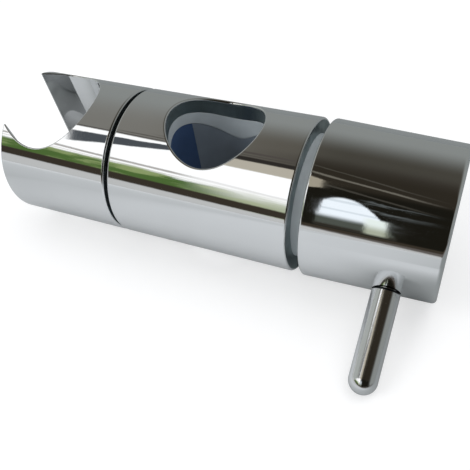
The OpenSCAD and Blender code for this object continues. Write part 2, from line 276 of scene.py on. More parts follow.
def arc_between(a, b, share):
    """Unit vectors on the great circle from a to b, at each share of the angle between them."""
    angle = np.arccos(np.clip((a * b).sum(-1, keepdims=True), -1, 1))
    return (np.sin((1 - share) * angle) * a + np.sin(share * angle) * b) / np.sin(angle)


def rolled_edge(skin, centres, normal_a, normal_b, radius, rows, mirrored=False):
    """The rounding that a ball leaves as it rolls along two faces: each centre plus the radius
    times the unit vectors on the great circle from one face's normal to the other's."""
    share = np.linspace(0, 1, rows + 1)[:, None, None]
    normals = arc_between(normal_a[None], normal_b[None], share)
    points = centres[None] + radius * normals
    (skin.both_sides if mirrored else skin.patch)(points, normals)


def blended(a, b, rows):
    """Straight steps from curve a to curve b, as the rows of a grid."""
    share = np.linspace(0, 1, rows + 1).reshape((-1,) + (1,) * a.ndim)
    return (1 - share) * a[None] + share * b[None]


def square_path(side):
    """A walk round the square from -1 to 1, with side steps on each edge, from corner to corner."""
    step = np.linspace(-1, 1, side + 1)[:-1]
    one = np.ones(side)
    return np.r_[one, -step, -one, step, 1], np.r_[step, one, -step, -one, -1]


def lathe(skin, x, r, normal_x, normal_r, angles, finish=0):
    """A profile turned about X: the point at x and radius r goes round all the angles."""
    sine, cosine = np.sin(angles)[None], np.cos(angles)[None]
    points = vectors(x[:, None] + 0 * sine, r[:, None] * sine, r[:, None] * cosine)
    normals = vectors(normal_x[:, None] + 0 * sine, normal_r[:, None] * sine, normal_r[:, None] * cosine)
    skin.patch(points, normals, finish)


def lathe_line(skin, start, end, angles, rows=1, finish=0):
    """A straight profile from start to end, both (x, r), turned about X. Its outer side is on the
    left of the way it runs: along +X it faces outwards, and down in radius it faces +X."""
    share = np.linspace(0, 1, rows + 1)
    x = start[0] + share * (end[0] - start[0])
    r = start[1] + share * (end[1] - start[1])
    length = math.hypot(end[0] - start[0], end[1] - start[1])
    normal_x = np.full(rows + 1, (start[1] - end[1]) / length)
    normal_r = np.full(rows + 1, (end[0] - start[0]) / length)
    lathe(skin, x, r, normal_x, normal_r, angles, finish)


def lathe_arc(skin, centre, radius, start, end, angles, rows):
    """A round profile about centre, (x, r), turned about X. Its angles run from the radius to +X."""
    way = np.linspace(start, end, rows + 1)
    lathe(skin, centre[0] + radius * np.sin(way), centre[1] + radius * np.cos(way),
          np.sin(way), np.cos(way), angles)


def about_x(angle):
    """The rotation matrix of a turn about X."""
    c, s = math.cos(angle), math.sin(angle)
    return np.array([[1, 0, 0], [0, c, -s], [0, s, c]])


def sleeve_mesh(size):
    """The barrel sleeve. Each half of the outer cylinder is a grid between the rail hole's rim and
    the half's own edges, in length and angle round the barrel. The rim is rolled by a ball whose
    centre is on a cylinder wider than the hole and on one narrower than the barrel."""
    skin = Skin()
    big, small, half = size.barrel_radius, size.sleeve_bore, size.sleeve_half
    hole, rim, end = size.rail_bore, size.rail_rim, size.sleeve_round
    across, along = square_path(size.fineness)
    count = len(across) - 1
    turn = -math.pi / 4 + 2 * math.pi * np.arange(count + 1) / count
    cosine, sine = np.cos(turn), np.sin(turn)
    right = math.pi / 2
    for side in (1, -1):
        ball_x, ball_y = (hole + rim) * cosine, (hole + rim) * sine
        ball_z = np.sqrt((big - rim) ** 2 - ball_y ** 2)
        centres = vectors(ball_x, ball_y, side * ball_z)
        outward = vectors(0, ball_y, side * ball_z) / (big - rim)
        inward = vectors(-cosine, -sine, 0)
        rolled_edge(skin, centres, outward, inward, rim, 8)
        x = blended(ball_x, across * (half - end), 16)
        angle = blended(np.arctan2(ball_y, ball_z), along * right, 16)
        normals = vectors(0, np.sin(angle), side * np.cos(angle))
        skin.patch(normals * big + vectors(x, 0, 0), normals)
        inner_z = np.sqrt(small ** 2 - (hole * sine) ** 2)
        rim_line = vectors(hole * cosine, hole * sine, side * ball_z)
        inner_line = vectors(hole * cosine, hole * sine, side * inner_z)
        # The hole's wall and the bore take the second finish, whose dark colour is partly painted shade
        skin.patch(blended(rim_line, inner_line, 4), inward[None], 1)
        x = blended(hole * cosine, across * half, 12)
        angle = blended(np.arctan2(hole * sine, inner_z), along * right, 12)
        normals = vectors(0, np.sin(angle), side * np.cos(angle))
        skin.patch(normals * small + vectors(x, 0, 0), -normals, 1)
        angle = np.linspace(-right, right, size.fineness + 1)
        outward = vectors(0, np.sin(angle), side * np.cos(angle))
        for way in (1, -1):
            face = vectors(way + 0 * angle, 0, 0)
            centres = outward * (big - end) + face * (half - end)
            rolled_edge(skin, centres, outward, face, end, 6)
            # The end faces in the gaps take the same darker finish, partly painted shade
            ring = blended(outward * (big - end), outward * small, 3)
            skin.patch(ring + face * half, face[None], 1)
    return skin.mesh("barrel_sleeve_chrome")


def cradle_mesh(size):
    """The handset cradle, built with its seat upright and then leant. The seat is a cone that
    breaks out through the open end and leaves two horns. A ball rolls along every edge of the
    seat: its centre is on a cone wider by the ball and on a cylinder narrower by it, or, on the
    horns, on that cone and on a plane behind the open end."""
    skin = Skin()
    big, ball = size.barrel_radius, size.cradle_round
    left, flat, seat = size.cradle_open, size.cradle_flat, size.seat_place
    slope = math.tan(size.seat_taper)
    sine_t, cosine_t = math.sin(size.seat_taper), math.cos(size.seat_taper)
    ball_radius = size.seat_radius + ball / cosine_t
    right = math.pi / 2
    many = size.fineness
    half_many = many // 2
    rows = 8

    def rim_height(u, side):
        """Height along the seat at which the ball meets both the cone and the barrel's round."""
        s2 = np.sin(u) ** 2
        a = 1 + slope ** 2 * s2
        b = ball_radius * slope * s2
        c = ball_radius ** 2 * s2 - (big - ball) ** 2
        return (-b + side * np.sqrt(b * b - a * c)) / a

    def centre(height, u):
        """The ball's centre on the wider cone."""
        reach = ball_radius + slope * height
        return vectors(seat + reach * np.cos(u), reach * np.sin(u), height)

    def seat_normal(u):
        """The seat's normal, towards the seat's axis and tipped up by the taper."""
        return vectors(-cosine_t * np.cos(u), -cosine_t * np.sin(u), sine_t + 0 * u)

    def horn_angle(height):
        """Angle round the seat at which the ball meets the open end."""
        return np.arccos((left + ball - seat) / (ball_radius + slope * height))

    def round_normal(centres):
        return centres * np.array([0.0, 1.0, 1.0]) / (big - ball)

    def on_barrel(x, angle, side, radius):
        """Points on a cylinder about the barrel's axis, by length and angle from side's pole."""
        return vectors(x, radius * np.sin(angle), side * radius * np.cos(angle))

    corner = {}
    for side in (1, -1):
        u = np.array([0.75 * math.pi])
        for _ in range(40):
            u = horn_angle(rim_height(u, side))
        corner[side] = float(u[0])

    front = np.linspace(right, right / 2, half_many + 1)[::-1]
    middle = np.linspace(-right / 2, right / 2, many + 1)
    horn_share = np.linspace(0, 1, half_many + 1)
    end_face = np.array([-1.0, 0.0, 0.0])

    # Rims of the seat, and the barrel's round beside them
    for side in (1, -1):
        horn = right + horn_share * (corner[side] - right)
        for u, mirrored in ((middle, False), (front, True), (horn, True)):
            centres = centre(rim_height(u, side), u)
            rolled_edge(skin, centres, round_normal(centres), seat_normal(u), ball, rows, mirrored)
        stop = flat - size.sleeve_round
        for u, mirrored in ((middle, False), (front, True)):
            centres = centre(rim_height(u, side), u)
            rim_angle = np.arctan2(centres[:, 1], side * centres[:, 2])
            if mirrored:
                edge_x = stop + (u - right / 2) / (right / 2) * (seat - stop)
                edge_angle = np.full(len(u), right)
            else:
                edge_x = np.full(len(u), stop)
                edge_angle = 2 * u
            x = blended(centres[:, 0], edge_x, half_many)
            angle = blended(rim_angle, edge_angle, half_many)
            points = on_barrel(x, angle, side, big)
            normals = on_barrel(0 * x, angle, side, 1)
            (skin.both_sides if mirrored else skin.patch)(points, normals)
        centres = centre(rim_height(horn, side), horn)
        rim_angle = np.arctan2(centres[:, 1], side * centres[:, 2])
        x = blended(centres[:, 0], seat + horn_share * (left + ball - seat), half_many)
        angle = blended(rim_angle, np.full(len(horn), right), half_many)
        skin.both_sides(on_barrel(x, angle, side, big), on_barrel(0 * x, angle, side, 1))
        # Corner where the three rounded edges of a horn meet
        u = np.array([corner[side]])
        at = centre(rim_height(u, side), u)
        share = np.linspace(0, 1, rows + 1)
        rim = arc_between(round_normal(at), seat_normal(u), share[:, None])
        normals = arc_between(rim[None], end_face[None, None], share[:, None, None])
        skin.both_sides(at[None] + ball * normals, normals)

    # Open end: the edge along the seat, the edge along the barrel's round and the face between
    w = np.linspace(0, 1, many + 1)
    ends = {side: float(rim_height(np.array([corner[side]]), side)[0]) for side in (1, -1)}
    height = (1 - w) * ends[-1] + w * ends[1]
    u = horn_angle(height)
    seat_edge = centre(height, u)
    rolled_edge(skin, seat_edge, seat_normal(u), end_face + 0 * seat_edge, ball, rows, True)
    arcs = {}
    for side in (1, -1):
        at = centre(np.array([ends[side]]), np.array([corner[side]]))[0]
        start = math.atan2(at[1], side * at[2])
        angle = start + np.linspace(0, 1, half_many + 1) * (right - start)
        arcs[side] = on_barrel(0 * angle, angle, side, 1)
    outward = np.concatenate([arcs[-1], arcs[1][::-1][1:]])
    round_edge = outward * (big - ball) + np.array([left + ball, 0, 0])
    rolled_edge(skin, round_edge, outward, end_face + 0 * outward, ball, rows, True)
    face = blended(seat_edge + ball * end_face, round_edge + ball * end_face, 4)
    skin.both_sides(face, end_face + 0 * face)

    # Seat beside the middle strip
    for part in ("front", "horn"):
        columns = []
        for side in (1, -1):
            line = front if part == "front" else right + horn_share * (corner[side] - right)
            columns.append(rim_height(line, side))
        share = w[:, None]
        height = share * columns[0][None] + (1 - share) * columns[1][None]
        if part == "front":
            u = front[None] + 0 * share
        else:
            last = horn_angle((1 - w) * ends[-1] + w * ends[1])[:, None]
            u = right + horn_share[None] * (last - right)
        normals = seat_normal(u)
        skin.both_sides(centre(height, u) + ball * normals, normals)

    # Middle strip of the seat, round the screw's pocket
    across, along = square_path(many)
    count = len(across) - 1
    turn = -math.pi / 4 + 2 * math.pi * np.arange(count + 1) / count
    pocket = size.screw_pocket
    pocket_y, pocket_z = pocket * np.cos(turn), pocket * np.sin(turn)
    wall = size.seat_radius + slope * pocket_z
    pocket_u = np.arcsin(pocket_y / wall)
    low, high = rim_height(pocket_u, -1), rim_height(pocket_u, 1)
    pocket_w = (pocket_z - ball * sine_t - low) / (high - low)
    u = blended(pocket_u, across * right / 2, 16)
    share = blended(pocket_w, (along + 1) / 2, 16)
    height = (1 - share) * rim_height(u, -1) + share * rim_height(u, 1)
    normals = seat_normal(u)
    skin.patch(centre(height, u) + ball * normals, normals)
    lip = vectors(seat + wall * np.cos(pocket_u), pocket_y, pocket_z)
    floor = vectors(size.pocket_floor, pocket_y, pocket_z)
    skin.patch(blended(lip, floor, 6), (floor - vectors(size.pocket_floor, 0, 0))[None] / -pocket)
    step = math.pi / many
    coarse = np.round(turn / step) * step
    bore = vectors(size.pocket_floor, size.bush_bore * np.cos(coarse), size.bush_bore * np.sin(coarse))
    skin.patch(blended(floor, bore, 2), end_face[None, None])

    # Flat end
    around = np.linspace(0, 2 * math.pi, 2 * many + 1)
    outward = vectors(0, np.cos(around), np.sin(around))
    start = outward * size.bush_bore + np.array([size.pocket_floor, 0, 0])
    finish = outward * size.bush_bore + np.array([flat, 0, 0])
    skin.patch(blended(start, finish, 2), -outward[None])
    edge = size.sleeve_round
    # The flat end's face in the groove takes the darker finish, partly painted shade
    ring = blended(finish, outward * (big - edge) + np.array([flat, 0, 0]), 4)
    skin.patch(ring, -end_face[None, None], 1)
    centres = outward * (big - edge) + np.array([flat - edge, 0, 0])
    rolled_edge(skin, centres, outward, -end_face + 0 * outward, edge, 6)
    return skin.mesh("handset_cradle_chrome", about_x(size.seat_tilt))


def knob_mesh(size):
    """The knob's shell: one profile turned about the barrel's axis, a shallow cone outside with a
    rounded outer end and a straight bore inside."""
    skin = Skin()
    angles = np.linspace(0, 2 * math.pi, 3 * size.fineness + 1)
    start, end, edge, crown = size.knob_start, size.knob_end, size.sleeve_round, size.knob_round
    r0, r1, bore, floor = size.knob_radius, size.knob_end_radius, size.shell_bore, size.shell_floor
    tip = math.atan2(r0 - r1, end - crown - start - edge)
    lathe_line(skin, (start, bore), (start, r0 - edge), angles, 2)
    lathe_arc(skin, (start + edge, r0 - edge), edge, -math.pi / 2, 0, angles, 6)
    lathe_line(skin, (start + edge, r0), (end - crown, r1), angles, 16)
    lathe_arc(skin, (end - crown, r1 - crown), crown, tip * 0, math.pi / 2, angles, 10)
    lathe_line(skin, (end, r1 - crown), (end, 0), angles, 12)
    lathe_line(skin, (floor, 0), (floor, bore), angles, 6)
    lathe_line(skin, (floor, bore), (start, bore), angles, 8)
    return skin.mesh("knob_shell_chrome")


def lever_mesh(size):
    """The lever: a straight rod with a half ball on its tip, turned about its own axis. It starts
    inside the knob's wall, so that its round meets the knob's round without a gap, and a narrow
    groove runs round it there."""
    skin = Skin()
    angles = np.linspace(0, 2 * math.pi, size.fineness + 1)
    radius, root, reach = size.lever_radius, size.lever_root, size.lever_reach
    lathe_line(skin, (root, 0), (root, radius), angles, 2)
    low, high, waist = size.lever_neck, size.lever_neck + size.neck_width, radius - size.neck_depth
    lathe_line(skin, (root, radius), (low, radius), angles, 2)
    # The groove's three faces take the second finish, near-black as painted shade
    lathe_line(skin, (low, radius), (low, waist), angles, 1, 1)
    lathe_line(skin, (low, waist), (high, waist), angles, 1, 1)
    lathe_line(skin, (high, waist), (high, radius), angles, 1, 1)
    lathe_line(skin, (high, radius), (reach - radius, radius), angles, 12)
    lathe_arc(skin, (reach - radius, radius * 0), radius, 0, math.pi / 2, angles, 16)
    angle = size.lever_angle
    # Local X runs along the lever, local Y keeps the barrel's axis
    along = np.array([0, -math.sin(angle), math.cos(angle)])
    barrel = np.array([1.0, 0, 0])
    turn = np.stack([along, barrel, np.cross(along, barrel)], 1)
    mesh = skin.mesh("lever_chrome", turn)
    mesh.transform(Matrix.Translation((size.lever_place, 0, 0)))
    return mesh


# Finishes


def new_material(name):
    """An empty material with its Principled shader, and a helper that adds nodes."""
    material = bpy.data.materials.new(name)
    material.use_nodes = True
    tree = material.node_tree
    return material, tree, tree.nodes["Principled BSDF"]


def add(tree, kind, **values):
    """A new node with its properties set by name and its inputs by number, as in_0 or in_Scale."""
    node = tree.nodes.new(kind)
    for key, value in values.items():
        if key.startswith("in_"):
            key = key[3:]
            node.inputs[int(key) if key.isdigit() else key].default_value = value
        else:
            setattr(node, key, value)
    return node


def varied(tree, coordinates, scale, low, high, detail=3.0):
    """A value that drifts over the surface between low and high, by noise of the given scale."""
    noise = add(tree, "ShaderNodeTexNoise", in_Scale=scale, in_Detail=detail)
    tree.links.new(coordinates, noise.inputs["Vector"])
    spread = add(tree, "ShaderNodeMapRange", in_1=0.3, in_2=0.7, in_3=low, in_4=high)
    tree.links.new(noise.outputs[0], spread.inputs[0])
    return spread.outputs[0]


def tinted(tree, factor, dark, light):
    """A colour between two, by the factor."""
    mix = add(tree, "ShaderNodeMix", data_type="RGBA")
    mix.inputs[6].default_value = (*dark, 1)
    mix.inputs[7].default_value = (*light, 1)
    tree.links.new(factor, mix.inputs[0])
    return mix.outputs[2]


def shade(colour, share):
    return tuple(channel * share for channel in colour)


def chrome_material(name, colour, smooth, dull):
    """Polished chrome plate: a mirror with an uneven polish, between two roughnesses, and a trace
    of the buffing."""
    material, tree, shader = new_material(name)
    place = add(tree, "ShaderNodeTexCoord").outputs["Object"]
    shader.inputs["Metallic"].default_value = 1
    colour_out = tinted(tree, varied(tree, place, 60, 0, 1), shade(colour, 0.97), colour)
    tree.links.new(colour_out, shader.inputs["Base Color"])
    tree.links.new(varied(tree, place, 140, smooth, dull), shader.inputs["Roughness"])
    bump = add(tree, "ShaderNodeBump", in_Strength=0.03, in_Distance=0.00002)
    tree.links.new(varied(tree, place, 900, 0, 1, 2), bump.inputs["Height"])
    tree.links.new(bump.outputs[0], shader.inputs["Normal"])
    return material


def metal_material(name, colour, roughness, grain):
    """Turned or drawn metal: tool marks round the barrel's axis and a drifting gloss."""
    material, tree, shader = new_material(name)
    place = add(tree, "ShaderNodeTexCoord").outputs["Object"]
    stretch = add(tree, "ShaderNodeMapping", in_Scale=(grain, 260, 260))
    tree.links.new(place, stretch.inputs["Vector"])
    shader.inputs["Metallic"].default_value = 1
    marks = add(tree, "ShaderNodeTexNoise", in_Scale=1.0, in_Detail=4.0)
    tree.links.new(stretch.outputs[0], marks.inputs["Vector"])
    tree.links.new(tinted(tree, marks.outputs[0], shade(colour, 0.8), colour), shader.inputs["Base Color"])
    tree.links.new(varied(tree, place, 300, roughness * 0.7, roughness * 1.3), shader.inputs["Roughness"])
    bump = add(tree, "ShaderNodeBump", in_Strength=0.25, in_Distance=0.00003)
    tree.links.new(marks.outputs[0], bump.inputs["Height"])
    tree.links.new(bump.outputs[0], shader.inputs["Normal"])
    return material


def plastic_material(name, colour, roughness, grain=700):
    """Moulded plastic or rubber: a fine grain, with slight clouds in colour and gloss."""
    material, tree, shader = new_material(name)
    place = add(tree, "ShaderNodeTexCoord").outputs["Object"]
    cloud = varied(tree, place, 110, 0, 1)
    tree.links.new(tinted(tree, cloud, shade(colour, 0.85), shade(colour, 1.08)), shader.inputs["Base Color"])
    tree.links.new(varied(tree, place, 180, roughness * 0.85, roughness * 1.15), shader.inputs["Roughness"])
    bump = add(tree, "ShaderNodeBump", in_Strength=0.2, in_Distance=0.00004)
    tree.links.new(varied(tree, place, grain, 0, 1), bump.inputs["Height"])
    tree.links.new(bump.outputs[0], shader.inputs["Normal"])
    return material


# The pieces

FINISH = {}


def finish_piece(mesh, body, node, slot_name, *materials):
    """Puts a mesh in the scene in the place of a CAD node, on its body and with its finishes."""
    piece = bpy.data.objects.new(mesh.name, mesh)
    bpy.context.scene.collection.objects.link(piece)
    for material in materials:
        mesh.materials.append(material)
    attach(piece, body)
    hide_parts(node)
    return piece


def finish_node(node, material):
    """Gives a CAD node its finish."""
    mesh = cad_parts[node].data
    mesh.materials.clear()
    mesh.materials.append(material)


def chrome(context):
    """The polished chrome, made once and shared."""
    if "chrome" not in FINISH:
        colour = tuple(context.scene.holder_colours.chrome)
        FINISH["chrome"] = chrome_material("polished_chrome", colour, 0.015, 0.05)
    return FINISH["chrome"]


def cut_face(context):
    """The satin plating on the cut faces, made once and shared. Its dark colour is partly painted shade for the holes
    and the gaps.
    """
    if "cut_face" not in FINISH:
        colour = tuple(context.scene.holder_colours.cut_face)
        FINISH["cut_face"] = metal_material("plated_cut_face_painted_shade", colour, 0.48, 500)
    return FINISH["cut_face"]


class HOLDER_OT_sleeve(bpy.types.Operator):
    """Makes the chrome barrel sleeve with the rail's hole through it"""

    bl_idname = "holder.sleeve"
    bl_label = "Barrel sleeve"

    def execute(self, context):
        mesh = sleeve_mesh(context.scene.holder_sizes)
        finish_piece(mesh, "barrel", "barrel_sleeve", "chrome", chrome(context), cut_face(context))
        return {"FINISHED"}


class HOLDER_OT_cradle(bpy.types.Operator):
    """Makes the chrome cradle with its tapered seat and two horns"""

    bl_idname = "holder.cradle"
    bl_label = "Handset cradle"

    def execute(self, context):
        mesh = cradle_mesh(context.scene.holder_sizes)
        finish_piece(mesh, "cradle", "handset_cradle", "chrome", chrome(context), cut_face(context))
        return {"FINISHED"}


class HOLDER_OT_knob(bpy.types.Operator):
    """Makes the chrome knob shell"""

    bl_idname = "holder.knob"
    bl_label = "Knob shell"

    def execute(self, context):
        mesh = knob_mesh(context.scene.holder_sizes)
        finish_piece(mesh, "knob", "knob_shell", "chrome", chrome(context))
        return {"FINISHED"}


class HOLDER_OT_lever(bpy.types.Operator):
    """Makes the chrome lever with its round tip"""

    bl_idname = "holder.lever"
    bl_label = "Lever"

    def execute(self, context):
        mesh = lever_mesh(context.scene.holder_sizes)
        colour = tuple(context.scene.holder_colours.chrome)
        buffed = chrome_material("buffed_chrome", colour, 0.10, 0.15)
        # The groove's near-black metal is painted shade
        groove = metal_material("neck_groove_painted_shade", tuple(context.scene.holder_colours.groove), 0.5, 900)
        finish_piece(mesh, "knob", "lever", "chrome", buffed, groove)
        return {"FINISHED"}


class HOLDER_OT_plastics(bpy.types.Operator):
    """Finishes the liner, the clamp core, the pad, the seals, the bushes and the hub"""

    bl_idname = "holder.plastics"
    bl_label = "Plastic and rubber parts"

    def execute(self, context):
        colours = context.scene.holder_colours
        finish_node("guide_liner", plastic_material("liner_plastic", tuple(colours.liner), 0.4))
        finish_node("clamp_core", plastic_material("core_plastic", tuple(colours.core), 0.38))
        finish_node("grip_pad", plastic_material("pad_rubber", tuple(colours.pad), 0.5, 1200))
        seal = plastic_material("black_rubber", tuple(colours.seal), 0.45, 1200)
        for node in ("oring_left", "oring_right", "friction_disc"):
            finish_node(node, seal)
        pale = plastic_material("pale_plastic", tuple(colours.bush), 0.4)
        for node in ("cradle_bush", "thrust_washer"):
            finish_node(node, pale)
        finish_node("knob_hub", plastic_material("hub_plastic", tuple(colours.hub), 0.5))
        return {"FINISHED"}


class HOLDER_OT_metals(bpy.types.Operator):
    """Finishes the screw, the bolt, the washers, the springs and the brass parts"""

    bl_idname = "holder.metals"
    bl_label = "Fasteners and springs"

    def execute(self, context):
        colours = context.scene.holder_colours
        steel = metal_material("stainless_steel", tuple(colours.steel), 0.28, 1500)
        for node in ("cradle_screw", "plain_washer", "stop_pin", "draw_bolt"):
            finish_node(node, steel)
        spring = metal_material("spring_steel", tuple(colours.spring), 0.35, 900)
        for node in ("disc_spring", "stop_ring", "return_spring"):
            finish_node(node, spring)
        brass = metal_material("turned_brass", tuple(colours.brass), 0.3, 1800)
        for node in ("pivot_insert", "hub_nut"):
            finish_node(node, brass)
        return {"FINISHED"}


# The stage


class Wiring:
    """Short words for the arithmetic of a card's picture."""

    def __init__(self, tree):
        self.tree = tree

    def math(self, operation, a, b=0.0, c=0.0):
        node = add(self.tree, "ShaderNodeMath", operation=operation)
        for socket, value in zip(node.inputs, (a, b, c)):
            if isinstance(value, bpy.types.NodeSocket):
                self.tree.links.new(value, socket)
            else:
                socket.default_value = value
        return node.outputs[0]

    def step(self, value, edge, soft):
        """0 below the edge and 1 above it, with a soft change as wide as soft."""
        node = add(self.tree, "ShaderNodeMapRange", interpolation_type="SMOOTHSTEP")
        low = self.math("SUBTRACT", edge, soft / 2) if isinstance(edge, bpy.types.NodeSocket) else edge - soft / 2
        high = self.math("ADD", edge, soft / 2) if isinstance(edge, bpy.types.NodeSocket) else edge + soft / 2
        for socket, item in zip(node.inputs, (value, low, high)):
            if isinstance(item, bpy.types.NodeSocket):
                self.tree.links.new(item, socket)
            else:
                socket.default_value = item
        return node.outputs[0]

    def band(self, value, low, high, soft):
        """1 between low and high."""
        inside = self.step(value, low, soft)
        beyond = self.math("SUBTRACT", 1.0, self.step(value, high, soft))
        return self.math("MULTIPLY", inside, beyond)

    def line(self, slope_input, at, value, slope):
        """The straight line that has a value at a place and a slope."""
        return self.math("MULTIPLY_ADD", slope_input, slope, value - slope * at)

    def over(self, under, mask, colour):
        """Paints a colour, or another picture, over what is there, where the mask is 1."""
        mix = add(self.tree, "ShaderNodeMix", data_type="RGBA")
        self.tree.links.new(mask, mix.inputs[0])
        for socket, item in ((mix.inputs[6], under), (mix.inputs[7], colour)):
            if isinstance(item, bpy.types.NodeSocket):
                self.tree.links.new(item, socket)
            else:
                socket.default_value = (*item, 1)
        return mix.outputs[2]


def grey(value):
    return (value, value, value)


def card_material():
    """The studio's large dome, that the chrome mirrors: pale windows, a green strip and dark
    strips. angle runs round the barrel from straight up towards the viewer, slope is how far a
    direction leans along the barrel, and height is its angle above the floor."""
    material = bpy.data.materials.new("studio_card")
    material.use_nodes = True
    tree = material.node_tree
    tree.nodes.clear()
    w = Wiring(tree)
    place = add(tree, "ShaderNodeTexCoord").outputs["Object"]
    parts = add(tree, "ShaderNodeSeparateXYZ")
    tree.links.new(place, parts.inputs[0])
    x, y, z = parts.outputs
    degrees = 180 / math.pi
    angle = w.math("MULTIPLY", w.math("ARCTAN2", w.math("MULTIPLY", y, -1.0), z), degrees)
    turned = w.math("SQRT", w.math("ADD", w.math("MULTIPLY", y, y), w.math("MULTIPLY", z, z)))
    slope = w.math("DIVIDE", x, w.math("MAXIMUM", turned, 0.001))
    height = w.math("MULTIPLY", w.math("ARCSINE", w.math("DIVIDE", z, DOME_RADIUS)), degrees)
    noise = add(tree, "ShaderNodeTexNoise", in_Scale=1.1, in_Detail=5.0)
    tree.links.new(place, noise.inputs["Vector"])
    wavy = w.math("MULTIPLY_ADD", w.math("SUBTRACT", noise.outputs[0], 0.5), 7.0, angle)
    leaves = add(tree, "ShaderNodeTexNoise", in_Scale=3.0, in_Detail=6.0, in_Roughness=0.65)
    tree.links.new(place, leaves.inputs["Vector"])
    leaf = leaves.outputs[0]
    leafy = w.math("MULTIPLY_ADD", w.math("SUBTRACT", leaf, 0.5), 16.0, angle)

    # The room: warm grey above, paler towards the floor and to the left, dark overhead
    warm = w.over((0.205, 0.198, 0.178), w.step(slope, -0.42, 0.30), (0.115, 0.106, 0.088))
    warm = w.over(warm, w.step(slope, -0.20, 0.16), (0.068, 0.063, 0.051))
    picture = w.over((0.27, 0.285, 0.275), w.step(height, 42.0, 44.0), warm)
    left = w.math("SUBTRACT", 1.0, w.step(slope, -1.0, 0.6))
    picture = w.over(picture, left, (0.42, 0.44, 0.42))
    picture = w.over(picture, w.step(height, 77.0, 18.0), (0.048, 0.042, 0.034))
    beside = w.math("SUBTRACT", 1.0, w.step(slope, -0.175, 0.02))
    for low, high, from_slope, tone in ((-1.0, 1.5, -0.5, 0.085), (4.0, 5.2, -0.6, 0.075), (7.6, 12.6, -0.44, 0.03)):
        mask = w.math("MULTIPLY", w.band(wavy, low, high, 2.0), w.step(slope, from_slope, 0.10))
        picture = w.over(picture, w.math("MULTIPLY", mask, beside), (tone, tone * 0.88, tone * 0.78))
    thin = w.math("MULTIPLY", w.band(wavy, 7.3, 8.9, 1.0), w.math("SUBTRACT", 1.0, w.step(slope, -0.5, 0.10)))
    picture = w.over(picture, w.math("MULTIPLY", thin, w.step(slope, -0.9, 0.2)), (0.09, 0.085, 0.078))

    # The window, with a post and a rail across it
    beside = w.math("SUBTRACT", 1.0, w.step(slope, -0.215, 0.02))
    sideways = w.math("MULTIPLY", w.math("ARCTAN2", x, w.math("MULTIPLY", y, -1.0)), degrees)
    lower = w.math("MULTIPLY", w.step(slope, -0.735, 0.02), w.math("SUBTRACT", 1.0, w.step(angle, 36.0, 6.0)))
    opening = w.math("MULTIPLY", beside, w.math("MAXIMUM", w.step(sideways, -63.0, 5.0), lower))
    right_part = w.step(slope, -0.45, 0.07)
    picture = w.over(picture, w.math("MULTIPLY", w.band(wavy, 13.2, 80.0, 1.6), opening), (0.52, 0.48, 0.40))
    top = w.math("MULTIPLY_ADD", right_part, 15.5, 10.2)
    picture = w.over(picture, w.math("MULTIPLY", w.band(wavy, top, 80.0, 2.0), opening), grey(1.2))
    cream = w.math("MULTIPLY", w.math("MULTIPLY", w.step(leafy, 63.0, 22.0), opening), right_part)
    picture = w.over(picture, cream, (0.46, 0.50, 0.34))
    rail = w.line(slope, -0.6, 48.0, 20.0)
    for lower, width, tone in ((-0.6, 2.8, 0.38), (4.6, 0.9, 0.62)):
        start = w.math("ADD", rail, lower)
        mask = w.math("MULTIPLY", w.band(wavy, start, w.math("ADD", start, width), 1.6), opening)
        mask = w.math("MULTIPLY", mask, w.math("MULTIPLY_ADD", right_part, -0.6, 0.9))
        picture = w.over(picture, mask, (tone, tone * 0.95, tone * 0.88))
    post = w.line(slope, -0.6, 22.0, -46.0)
    post_half = w.math("MULTIPLY_ADD", w.math("SUBTRACT", leaf, 0.5), 4.5, w.line(slope, -0.6, 5.9, -20.0))
    mask = w.band(wavy, w.math("SUBTRACT", post, post_half), w.math("ADD", post, post_half), 1.6)
    mask = w.math("MULTIPLY", mask, w.math("SUBTRACT", 1.0, w.step(slope, -0.46, 0.06)))
    mask = w.math("MULTIPLY", w.math("MULTIPLY", mask, w.step(slope, -0.715, 0.02)), opening)
    picture = w.over(picture, mask, (0.078, 0.088, 0.098))

    # The garden strip and the dark board under it
    sill = w.line(slope, -0.6, 55.0, 18.0)
    fade = w.math("SUBTRACT", 1.0, w.math("MULTIPLY", w.step(slope, -0.39, 0.16), 0.85))
    green = w.math("MULTIPLY", w.math("MULTIPLY", w.band(leafy, sill, 84.0, 5.0), opening), fade)
    greens = w.over((0.082, 0.155, 0.040), w.step(leaf, 0.53, 0.16), (0.29, 0.37, 0.155))
    picture = w.over(picture, green, greens)
    board = w.line(slope, -0.6, 69.5, 14.0)
    mask = w.math("MULTIPLY", w.band(angle, board, 84.0, 2.5), opening)
    picture = w.over(picture, mask, (0.042, 0.034, 0.025))

